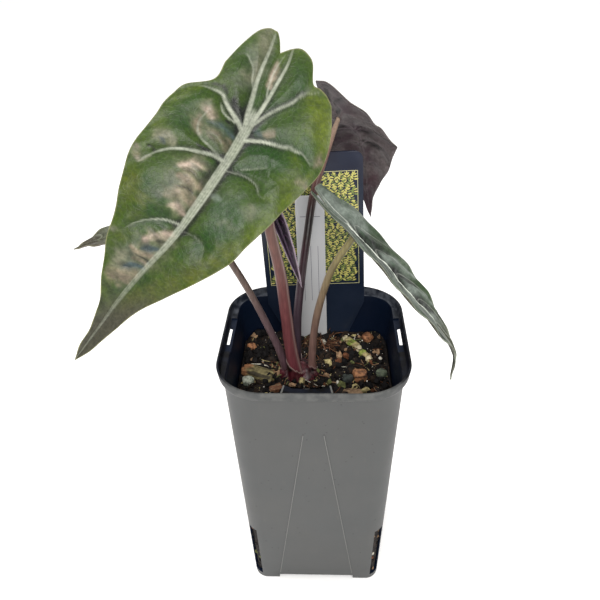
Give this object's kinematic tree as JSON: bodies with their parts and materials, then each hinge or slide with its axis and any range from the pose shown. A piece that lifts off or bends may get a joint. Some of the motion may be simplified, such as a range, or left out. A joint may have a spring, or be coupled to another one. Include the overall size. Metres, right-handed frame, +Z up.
{
  "type": "potted alocasia chantrieri",
  "caption": "Young aroid house plant: arrow-shaped quilted leaves on slender stems from one crown, in a square nursery pot of bark mix with a name label and picture tag.",
  "frame": {"origin": "centre of the whole footprint, on the floor under the pot", "axes": "+Z up, +X to the viewer's right along the pot's front wall, +Y away from the viewer; the large front leaf points to -X and -Y"},
  "size_m": [0.154, 0.1052, 0.2649],
  "materials": {
    "pot_plastic": "satin moulded grey, near black inside, faint scuffs",
    "potting_mix": "dark damp bark and coir mix, rough",
    "crown_skin": "dark purple-red leaf base with pale torn sheath edges",
    "stem_pink": "pink-red satin skin",
    "stem_maroon": "dark maroon satin skin, warmer at the top",
    "stem_olive": "olive and pink satin skin",
    "stem_mauve": "mauve-brown satin skin",
    "leaf_green": "glossy quilted green with silvery veins",
    "leaf_purple_underside": "purple-brown underside, green upper face",
    "leaf_silver": "silvery grey-green with dark gutters",
    "leaf_grey_green": "grey-green satin",
    "leaf_young": "dark purple with pale lilac margins",
    "label_plastic": "bare off-white plastic",
    "tag_plastic": null,
    "bark": "orange to tan bark",
    "twig": "yellow-green split wood",
    "pebble": "grey-green to off-white grit"
  },
  "bodies": {
    "root": {"pot": "pot_plastic", "potting_mix": "potting_mix", "crown": "crown_skin", "stem_front": "stem_pink", "stem_back": "stem_maroon", "stem_right": "stem_olive", "stem_left": "stem_mauve", "blade_front": "leaf_green", "blade_back": "leaf_purple_underside", "blade_right": "leaf_silver", "blade_left": "leaf_grey_green", "blade_young": "leaf_young", "name_label": "label_plastic", "picture_tag": "tag_plastic", "bark_chip_left": "bark", "bark_chip_left_small": "bark", "bark_chip_back": "bark", "bark_chip_right": "bark", "bark_chip_front": "bark", "bark_chip_front_left": "bark", "twig_back": "twig", "twig_middle": "twig", "pebble_left": "pebble", "pebble_right": "pebble", "pebble_middle": "pebble"}
  },
  "joints": []
}
